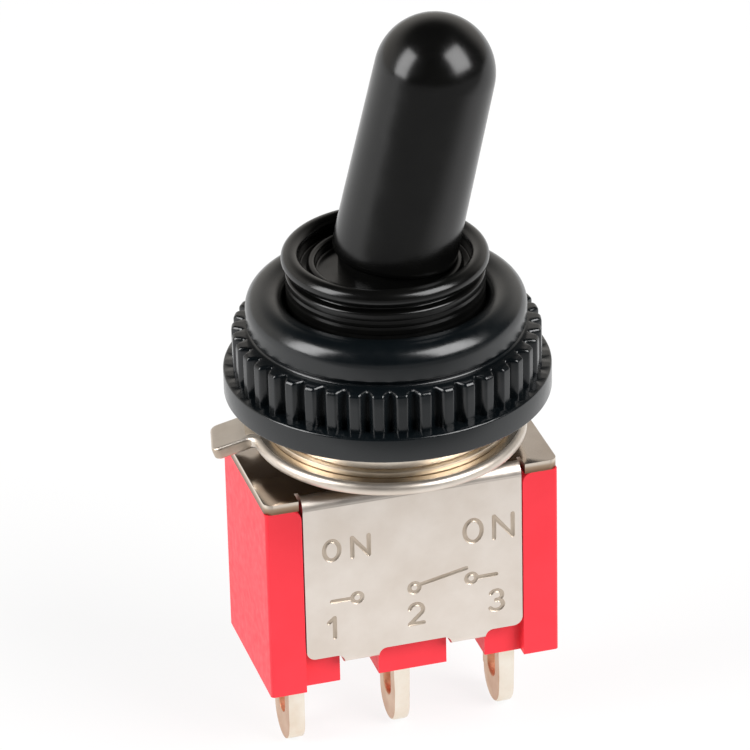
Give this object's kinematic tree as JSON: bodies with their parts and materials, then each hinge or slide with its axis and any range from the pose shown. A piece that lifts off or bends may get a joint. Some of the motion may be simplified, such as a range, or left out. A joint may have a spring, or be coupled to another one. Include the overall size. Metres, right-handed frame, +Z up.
{
  "type": "toggle switch",
  "caption": "Miniature panel toggle switch: red moulded body in a metal frame, solder lugs, keyed bushing, fluted sealing nut and a rubber boot over the bat lever.",
  "frame": {"origin": "on the bushing's axis, at the top face of the metal frame", "axes": "+Z up the bushing; +X along the terminal row towards terminal 3; the lever leans to +X at rest; +Y to the back"},
  "size_m": [0.0144, 0.0136, 0.0327],
  "materials": {
    "red_plastic": "satin moulded",
    "nickel_plate": "bright nickel plate",
    "tinned_brass": "tin plate, warm",
    "brass": "turned",
    "black_plastic": "gloss",
    "black_rubber": "satin",
    "nylon": "natural",
    "silver": "satin silver",
    "spring_steel": "drawn wire",
    "resin": "cast resin"
  },
  "bodies": {
    "base": {"housing": "red_plastic", "frame": "nickel_plate", "bushing": "nickel_plate", "locating_washer": "nickel_plate", "lock_washer": "nickel_plate", "nut_insert": "brass", "boot_nut": "black_plastic", "terminal_1": "tinned_brass", "terminal_2": "tinned_brass", "terminal_3": "tinned_brass", "fixed_contact_1": "silver", "fixed_contact_3": "silver", "terminal_seal_1": "resin", "terminal_seal_2": "resin", "terminal_seal_3": "resin"},
    "toggle": {"lever": "brass", "boot": "black_rubber", "plunger_spring": "spring_steel"},
    "plunger": {"plunger": "nylon"},
    "rocker": {"rocker": "silver", "moving_contact_1": "silver", "moving_contact_3": "silver"}
  },
  "joints": [
    {"name": "lever_tilt", "type": "hinge", "parent": "base", "child": "toggle", "pos_m": [0, 0, 0.0062], "axis": [0, 1, 0], "range_deg": [-26, 0], "deforming": ["boot"]},
    {"name": "plunger_slide", "type": "slide", "parent": "toggle", "child": "plunger", "axis": [0.225, 0, 0.9744], "range_m": [0, 0.0002], "stiffness_N_per_m": 400, "springref_m": -0.0005, "deforming": ["plunger_spring"]},
    {"name": "rocker_tilt", "type": "hinge", "parent": "base", "child": "rocker", "pos_m": [0, 0, -0.00411], "axis": [0, 1, 0], "range_deg": [0, 12]}
  ],
  "couplings": [
    {"joint": "rocker_tilt", "follows": "lever_tilt", "ratio": -0.46154}
  ]
}
